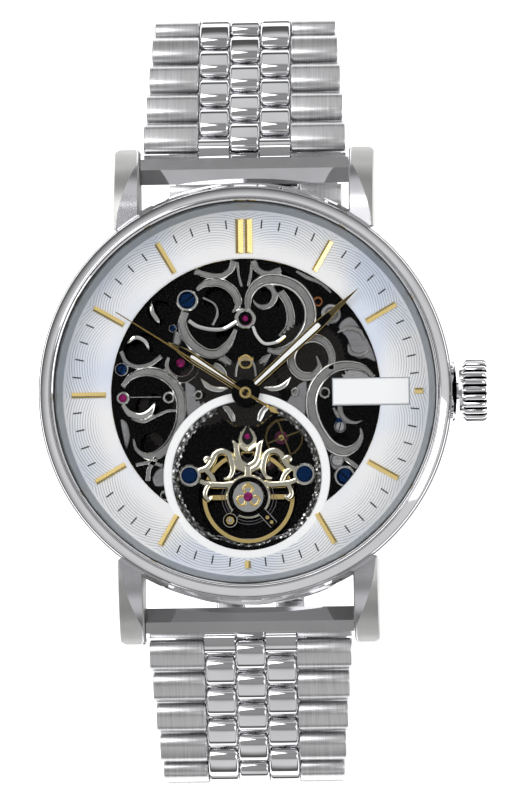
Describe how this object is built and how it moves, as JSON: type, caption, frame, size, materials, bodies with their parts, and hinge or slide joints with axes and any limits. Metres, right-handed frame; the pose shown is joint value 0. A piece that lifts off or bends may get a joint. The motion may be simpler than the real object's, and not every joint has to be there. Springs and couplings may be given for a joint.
{
  "type": "skeleton wristwatch",
  "caption": "Round mechanical wristwatch with an open-worked dial over its gear train and balance, three hands, a fluted crown, and a linked steel bracelet closed by a folding clasp.",
  "frame": {"origin": "centre of the case back's outer face", "axes": "+Z out through the dial, +Y to 12 o'clock, +X to 3 o'clock and the crown"},
  "size_m": [0.0476, 0.0812, 0.0405],
  "materials": {
    "polished_steel": "mirror polished",
    "brushed_steel": "fine brushed",
    "glass": "clear domed mineral glass",
    "dial_white": "pearl white with engine turning",
    "gold": "polished gold plate",
    "hand_gold": "dark gold bevels with white luminous fill",
    "movement_steel": "dark rhodium with bright bevels",
    "cock_gilt": "pale gilt polish",
    "wheel_brass": "polished brass",
    "wheel_steel": "grained steel",
    "blued": "heat blued steel",
    "ruby": "polished synthetic ruby",
    "black_steel": "black polish",
    "spring_steel": "thin spring strip",
    "rehaut_grey": "satin grey",
    "rubber": "black seal"
  },
  "bodies": {
    "case": {"case_body": "polished_steel", "bezel": "polished_steel", "crystal": "glass", "case_back": "brushed_steel", "back_crystal": "glass", "gaskets": "rubber", "rehaut_ring": "rehaut_grey", "movement_ring": "movement_steel", "crown_tube": "polished_steel", "spring_bars": "brushed_steel", "dial": "dial_white", "hour_markers": "gold", "main_plate": "movement_steel", "train_bridge": "wheel_steel", "jewels": "ruby", "movement_screws": "blued", "balance_cock": "cock_gilt", "shock_setting": "polished_steel"},
    "seconds": {"fourth_wheel": "wheel_brass", "seconds_hand": "gold"},
    "minutes": {"centre_wheel": "wheel_brass", "minute_hand": "hand_gold"},
    "third": {"third_wheel": "wheel_brass"},
    "escape": {"escape_wheel": "wheel_brass"},
    "barrel": {"barrel": "wheel_brass", "mainspring": "spring_steel"},
    "minute_wheel": {"minute_wheel": "wheel_brass"},
    "hours": {"hour_wheel": "wheel_brass", "hour_hand": "hand_gold"},
    "pallet": {"pallet_fork": "wheel_steel"},
    "balance": {"balance_wheel": "gold", "hairspring": "spring_steel"},
    "regulator": {"regulator": "black_steel"},
    "click": {"click": "wheel_steel"},
    "rotor": {"rotor": "wheel_steel"},
    "crown_slide": {"crown_seal": "rubber"},
    "crown": {"crown": "polished_steel", "winding_stem": "wheel_steel"},
    "crown_wheel": {"crown_wheel": "wheel_steel"},
    "ratchet": {"ratchet_wheel": "wheel_steel"},
    "end_12": {"end_piece_12": "brushed_steel"},
    "links_12_1": {"link_12_1": "brushed_steel"},
    "links_12_2": {"link_12_2": "brushed_steel"},
    "links_12_3": {"link_12_3": "brushed_steel"},
    "links_12_4": {"link_12_4": "brushed_steel"},
    "links_12_5": {"link_12_5": "brushed_steel"},
    "links_12_6": {"link_12_6": "brushed_steel"},
    "links_12_7": {"link_12_7": "brushed_steel"},
    "end_6": {"end_piece_6": "brushed_steel"},
    "links_6_1": {"link_6_1": "brushed_steel"},
    "links_6_2": {"link_6_2": "brushed_steel"},
    "links_6_3": {"link_6_3": "brushed_steel"},
    "links_6_4": {"link_6_4": "brushed_steel"},
    "links_6_5": {"link_6_5": "brushed_steel"},
    "links_6_6": {"link_6_6": "brushed_steel"},
    "cover": {"clasp_cover": "brushed_steel"},
    "blade_outer": {"clasp_blade_outer": "brushed_steel"},
    "blade_inner": {"clasp_blade_inner": "brushed_steel"},
    "button_right": {"clasp_button_right": "polished_steel"},
    "button_left": {"clasp_button_left": "polished_steel"}
  },
  "joints": [
    {"name": "seconds_turn", "type": "hinge", "parent": "case", "child": "seconds", "pos_m": [0, 0, 0], "axis": [0, 0, -1], "continuous": true},
    {"name": "minutes_turn", "type": "hinge", "parent": "case", "child": "minutes", "pos_m": [0, 0, 0], "axis": [0, 0, -1], "continuous": true},
    {"name": "third_turn", "type": "hinge", "parent": "case", "child": "third", "pos_m": [-0.006, -0.0012, 0], "axis": [0, 0, -1], "continuous": true},
    {"name": "escape_turn", "type": "hinge", "parent": "case", "child": "escape", "pos_m": [0.0036, -0.00465, 0], "axis": [0, 0, -1], "continuous": true},
    {"name": "barrel_turn", "type": "hinge", "parent": "case", "child": "barrel", "pos_m": [0.0066, 0.0035, 0], "axis": [0, 0, -1], "continuous": true},
    {"name": "minute_wheel_turn", "type": "hinge", "parent": "case", "child": "minute_wheel", "pos_m": [-0.0045, -0.0001, 0], "axis": [0, 0, -1], "continuous": true},
    {"name": "hours_turn", "type": "hinge", "parent": "case", "child": "hours", "pos_m": [0, 0, 0], "axis": [0, 0, -1], "continuous": true},
    {"name": "pallet_swing", "type": "hinge", "parent": "case", "child": "pallet", "pos_m": [0.00212, -0.00726, 0], "axis": [0, 0, -1], "range_deg": [-5, 5]},
    {"name": "balance_swing", "type": "hinge", "parent": "case", "child": "balance", "pos_m": [0.0001, -0.0108, 0], "axis": [0, 0, -1], "range_deg": [-270, 270], "stiffness_Nm_per_rad": 0.00000036, "deforming": ["hairspring"]},
    {"name": "regulator_turn", "type": "hinge", "parent": "case", "child": "regulator", "pos_m": [0.0001, -0.0108, 0], "axis": [0, 0, -1], "range_deg": [-8, 8]},
    {"name": "click_swing", "type": "hinge", "parent": "case", "child": "click", "pos_m": [0.009, 0.0082, 0], "axis": [0, 0, -1], "range_deg": [0, 12]},
    {"name": "rotor_turn", "type": "hinge", "parent": "case", "child": "rotor", "pos_m": [0, 0, 0], "axis": [0, 0, -1], "continuous": true},
    {"name": "crown_pull", "type": "slide", "parent": "case", "child": "crown_slide", "axis": [1, 0, 0], "range_m": [0, 0.0009]},
    {"name": "crown_turn", "type": "hinge", "parent": "crown_slide", "child": "crown", "pos_m": [0, 0, 0.0056], "axis": [1, 0, 0], "continuous": true},
    {"name": "crown_wheel_turn", "type": "hinge", "parent": "case", "child": "crown_wheel", "pos_m": [0.01172, 0.00078, 0], "axis": [0, 0, 1], "continuous": true},
    {"name": "ratchet_turn", "type": "hinge", "parent": "case", "child": "ratchet", "pos_m": [0.0066, 0.0035, 0], "axis": [0, 0, 1], "continuous": true},
    {"name": "end_12_hinge", "type": "hinge", "parent": "case", "child": "end_12", "pos_m": [0, 0.0238, 0.0027], "axis": [1, 0, 0], "range_deg": [0, 15]},
    {"name": "link_12_1_hinge", "type": "hinge", "parent": "end_12", "child": "links_12_1", "pos_m": [0, 0.0263, 0.0029], "axis": [1, 0, 0], "range_deg": [0, 29]},
    {"name": "link_12_2_hinge", "type": "hinge", "parent": "links_12_1", "child": "links_12_2", "pos_m": [0, 0.0295, 0.00148], "axis": [1, 0, 0], "range_deg": [0, 5]},
    {"name": "link_12_3_hinge", "type": "hinge", "parent": "links_12_2", "child": "links_12_3", "pos_m": [0, 0.03269, 0.00005], "axis": [1, 0, 0], "range_deg": [0, 6]},
    {"name": "link_12_4_hinge", "type": "hinge", "parent": "links_12_3", "child": "links_12_4", "pos_m": [0, 0.03587, -0.00143], "axis": [1, 0, 0], "range_deg": [0, 13]},
    {"name": "link_12_5_hinge", "type": "hinge", "parent": "links_12_4", "child": "links_12_5", "pos_m": [0, 0.0388, -0.00333], "axis": [1, 0, 0], "range_deg": [0, 52]},
    {"name": "link_12_6_hinge", "type": "hinge", "parent": "links_12_5", "child": "links_12_6", "pos_m": [0, 0.03941, -0.01028], "axis": [1, 0, 0], "range_deg": [0, 13]},
    {"name": "link_12_7_hinge", "type": "hinge", "parent": "links_12_6", "child": "links_12_7", "pos_m": [0, 0.03359, -0.02261], "axis": [1, 0, 0], "range_deg": [0, 17]},
    {"name": "end_6_hinge", "type": "hinge", "parent": "case", "child": "end_6", "pos_m": [0, -0.0238, 0.0027], "axis": [-1, 0, 0], "range_deg": [0, 15]},
    {"name": "link_6_1_hinge", "type": "hinge", "parent": "end_6", "child": "links_6_1", "pos_m": [0, -0.0263, 0.0029], "axis": [-1, 0, 0], "range_deg": [0, 29]},
    {"name": "link_6_2_hinge", "type": "hinge", "parent": "links_6_1", "child": "links_6_2", "pos_m": [0, -0.0295, 0.00148], "axis": [-1, 0, 0], "range_deg": [0, 5]},
    {"name": "link_6_3_hinge", "type": "hinge", "parent": "links_6_2", "child": "links_6_3", "pos_m": [0, -0.03269, 0.00005], "axis": [-1, 0, 0], "range_deg": [0, 6]},
    {"name": "link_6_4_hinge", "type": "hinge", "parent": "links_6_3", "child": "links_6_4", "pos_m": [0, -0.03587, -0.00143], "axis": [-1, 0, 0], "range_deg": [0, 13]},
    {"name": "link_6_5_hinge", "type": "hinge", "parent": "links_6_4", "child": "links_6_5", "pos_m": [0, -0.0388, -0.00333], "axis": [-1, 0, 0], "range_deg": [0, 52]},
    {"name": "link_6_6_hinge", "type": "hinge", "parent": "links_6_5", "child": "links_6_6", "pos_m": [0, -0.03598, -0.02005], "axis": [-1, 0, 0], "range_deg": [0, 17]},
    {"name": "cover_hinge", "type": "hinge", "parent": "links_12_7", "child": "cover", "pos_m": [0, 0.02061, -0.02708], "axis": [1, 0, 0], "range_deg": [0, 17]},
    {"name": "outer_blade_hinge", "type": "hinge", "parent": "cover", "child": "blade_outer", "pos_m": [0, -0.01511, -0.02743], "axis": [1, 0, 0], "range_deg": [0, 54]},
    {"name": "inner_blade_hinge", "type": "hinge", "parent": "blade_outer", "child": "blade_inner", "pos_m": [0, 0.01591, -0.02583], "axis": [-1, 0, 0], "range_deg": [0, 60]},
    {"name": "button_right_press", "type": "slide", "parent": "cover", "child": "button_right", "axis": [-1, 0, 0], "range_m": [0, 0.0006], "stiffness_N_per_m": 300},
    {"name": "button_left_press", "type": "slide", "parent": "cover", "child": "button_left", "axis": [1, 0, 0], "range_m": [0, 0.0006], "stiffness_N_per_m": 300}
  ],
  "couplings": [
    {"joint": "minutes_turn", "follows": "seconds_turn", "ratio": 0.016667},
    {"joint": "third_turn", "follows": "seconds_turn", "ratio": -0.13333},
    {"joint": "escape_turn", "follows": "seconds_turn", "ratio": -10},
    {"joint": "barrel_turn", "follows": "seconds_turn", "ratio": -0.0027778},
    {"joint": "minute_wheel_turn", "follows": "seconds_turn", "ratio": -0.0055556},
    {"joint": "hours_turn", "follows": "seconds_turn", "ratio": 0.0013889},
    {"joint": "crown_wheel_turn", "follows": "crown_turn", "ratio": 0.5},
    {"joint": "ratchet_turn", "follows": "crown_turn", "ratio": -0.25}
  ]
}
